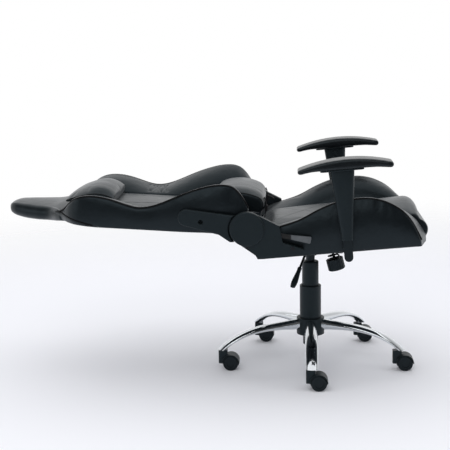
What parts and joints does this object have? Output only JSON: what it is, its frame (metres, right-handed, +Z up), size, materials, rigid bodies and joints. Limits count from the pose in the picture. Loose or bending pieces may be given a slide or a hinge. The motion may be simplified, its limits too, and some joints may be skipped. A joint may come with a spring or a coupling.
{
  "type": "gaming chair",
  "caption": "Reclining gaming chair with bolstered seat and back, head pillow, lumbar cushion, height adjustable armrests, gas lift and a five star caster base, back laid flat.",
  "frame": {"origin": "on the floor under the middle of the chair's length and width", "axes": "+X towards the front of the seat, +Y to the sitter's left, +Z up; rest pose has the back laid flat"},
  "size_m": [1.3646, 0.674, 0.7265],
  "materials": {
    "chrome_arms": "polished",
    "black_plastic": "fine texture",
    "nylon_wheels": "satin",
    "bright_steel": "turned",
    "spring_steel": "black oxide",
    "black_steel": "powder coat",
    "grey_steel": "satin grey",
    "webbing": "woven elastic",
    "black_upholstery": "matt synthetic leather over foam",
    "soft_pads": "soft moulded foam skin"
  },
  "bodies": {
    "base": {"star_base": "chrome_arms", "hub_cover": "black_plastic", "caster_stems": "bright_steel", "lift_tube": "black_steel", "lift_bush": "black_plastic", "lower_dust_cover": "black_plastic"},
    "piston": {"piston_rod": "bright_steel", "thrust_bearing": "bright_steel", "rod_clip": "bright_steel"},
    "lift": {"gas_cylinder": "bright_steel", "upper_dust_cover": "black_plastic", "mechanism_housing": "black_steel", "tilt_pin": "bright_steel"},
    "valve": {"valve_button": "black_plastic"},
    "height_lever": {"height_lever": "black_steel", "height_lever_grip": "black_plastic"},
    "seat": {"seat_plate": "black_steel", "tension_spring": "spring_steel", "tension_bolt": "bright_steel", "seat_frame": "black_steel", "seat_webbing": "webbing", "seat_cushion": "black_upholstery", "seat_bolster_right": "black_upholstery", "seat_bolster_left": "black_upholstery", "seat_bolts": "bright_steel", "lower_brackets": "black_steel", "side_covers": "black_plastic", "arm_brackets": "black_steel", "hinge_pins": "bright_steel"},
    "knob": {"tension_knob": "black_plastic"},
    "recline_lever": {"recline_lever": "grey_steel", "recline_pawl": "grey_steel"},
    "back": {"upper_brackets": "black_steel", "bracket_covers": "black_plastic", "back_frame": "black_steel", "back_webbing": "webbing", "back_cushion": "black_upholstery", "back_bolster_right": "black_upholstery", "back_bolster_left": "black_upholstery", "head_panel": "black_upholstery", "head_pillow": "black_upholstery"},
    "lumbar": {"lumbar_cushion": "black_upholstery"},
    "arm_right": {"arm_sleeve_right": "black_plastic", "arm_pad_right": "soft_pads"},
    "arm_left": {"arm_sleeve_left": "black_plastic", "arm_pad_left": "soft_pads"},
    "button_right": {"arm_button_right": "black_plastic"},
    "button_left": {"arm_button_left": "black_plastic"},
    "caster_1": {"caster_housing_1": "black_plastic"},
    "wheels_1": {"caster_wheels_1": "nylon_wheels"},
    "caster_2": {"caster_housing_2": "black_plastic"},
    "wheels_2": {"caster_wheels_2": "nylon_wheels"},
    "caster_3": {"caster_housing_3": "black_plastic"},
    "wheels_3": {"caster_wheels_3": "nylon_wheels"},
    "caster_4": {"caster_housing_4": "black_plastic"},
    "wheels_4": {"caster_wheels_4": "nylon_wheels"},
    "caster_5": {"caster_housing_5": "black_plastic"},
    "wheels_5": {"caster_wheels_5": "nylon_wheels"}
  },
  "joints": [
    {"name": "swivel", "type": "hinge", "parent": "base", "child": "piston", "pos_m": [0.31395, 0, 0.069], "axis": [0, 0, 1], "continuous": true},
    {"name": "lift", "type": "slide", "parent": "piston", "child": "lift", "axis": [0, 0, 1], "range_m": [-0.08, 0]},
    {"name": "height_lever", "type": "hinge", "parent": "lift", "child": "height_lever", "pos_m": [0.30895, -0.058, 0.3983], "axis": [-1, 0, 0], "range_deg": [0, 5], "stiffness_Nm_per_rad": 4, "springref_deg": -8.59},
    {"name": "valve", "type": "slide", "parent": "lift", "child": "valve", "axis": [0, 0, -1], "range_m": [0, 0.0052]},
    {"name": "tilt", "type": "hinge", "parent": "lift", "child": "seat", "pos_m": [0.28399, 0, 0.39598], "axis": [0, -1, 0], "range_deg": [0, 10], "stiffness_Nm_per_rad": 300, "springref_deg": -11.46, "deforming": ["tension_spring"]},
    {"name": "tension_knob", "type": "hinge", "parent": "seat", "child": "knob", "pos_m": [0.37699, 0, 0.41995], "axis": [0.2419, 0, -0.9703], "continuous": true},
    {"name": "recline", "type": "hinge", "parent": "seat", "child": "back", "pos_m": [0.11591, 0, 0.50503], "axis": [0, 1, 0], "range_deg": [0, 80]},
    {"name": "lumbar_shift", "type": "slide", "parent": "back", "child": "lumbar", "axis": [-0.998, 0, 0.0628], "range_m": [0, 0.0452]},
    {"name": "recline_lever", "type": "hinge", "parent": "seat", "child": "recline_lever", "pos_m": [0.18605, 0, 0.48818], "axis": [0, -1, 0], "range_deg": [0, 18], "stiffness_Nm_per_rad": 2, "springref_deg": -17.19},
    {"name": "arm_height_right", "type": "slide", "parent": "seat", "child": "arm_right", "axis": [-0.0785, 0, 0.9969], "range_m": [0, 0.06]},
    {"name": "arm_button_right", "type": "slide", "parent": "arm_right", "child": "button_right", "axis": [0, -1, 0], "range_m": [0, 0.004], "stiffness_N_per_m": 400, "springref_m": -0.003},
    {"name": "arm_height_left", "type": "slide", "parent": "seat", "child": "arm_left", "axis": [-0.0785, 0, 0.9969], "range_m": [0, 0.06]},
    {"name": "arm_button_left", "type": "slide", "parent": "arm_left", "child": "button_left", "axis": [0, 1, 0], "range_m": [0, 0.004], "stiffness_N_per_m": 400, "springref_m": -0.003},
    {"name": "caster_swivel_1", "type": "hinge", "parent": "base", "child": "caster_1", "pos_m": [0.31395, -0.3, 0.057], "axis": [0, 0, 1], "continuous": true},
    {"name": "wheel_roll_1", "type": "hinge", "parent": "caster_1", "child": "wheels_1", "pos_m": [0.33495, -0.3, 0.025], "axis": [0, 1, 0], "continuous": true},
    {"name": "caster_swivel_2", "type": "hinge", "parent": "base", "child": "caster_2", "pos_m": [0.59927, -0.0927, 0.057], "axis": [0, 0, 1], "continuous": true},
    {"name": "wheel_roll_2", "type": "hinge", "parent": "caster_2", "child": "wheels_2", "pos_m": [0.62027, -0.0927, 0.025], "axis": [0, 1, 0], "continuous": true},
    {"name": "caster_swivel_3", "type": "hinge", "parent": "base", "child": "caster_3", "pos_m": [0.49029, 0.24271, 0.057], "axis": [0, 0, 1], "continuous": true},
    {"name": "wheel_roll_3", "type": "hinge", "parent": "caster_3", "child": "wheels_3", "pos_m": [0.51129, 0.24271, 0.025], "axis": [0, 1, 0], "continuous": true},
    {"name": "caster_swivel_4", "type": "hinge", "parent": "base", "child": "caster_4", "pos_m": [0.13762, 0.24271, 0.057], "axis": [0, 0, 1], "continuous": true},
    {"name": "wheel_roll_4", "type": "hinge", "parent": "caster_4", "child": "wheels_4", "pos_m": [0.15862, 0.24271, 0.025], "axis": [0, 1, 0], "continuous": true},
    {"name": "caster_swivel_5", "type": "hinge", "parent": "base", "child": "caster_5", "pos_m": [0.02864, -0.0927, 0.057], "axis": [0, 0, 1], "continuous": true},
    {"name": "wheel_roll_5", "type": "hinge", "parent": "caster_5", "child": "wheels_5", "pos_m": [0.04963, -0.0927, 0.025], "axis": [0, 1, 0], "continuous": true}
  ],
  "couplings": [
    {"joint": "valve", "follows": "height_lever", "m_per_rad": 0.058},
    {"joint": "lumbar_shift", "follows": "recline", "m_per_rad": 0.0322}
  ]
}
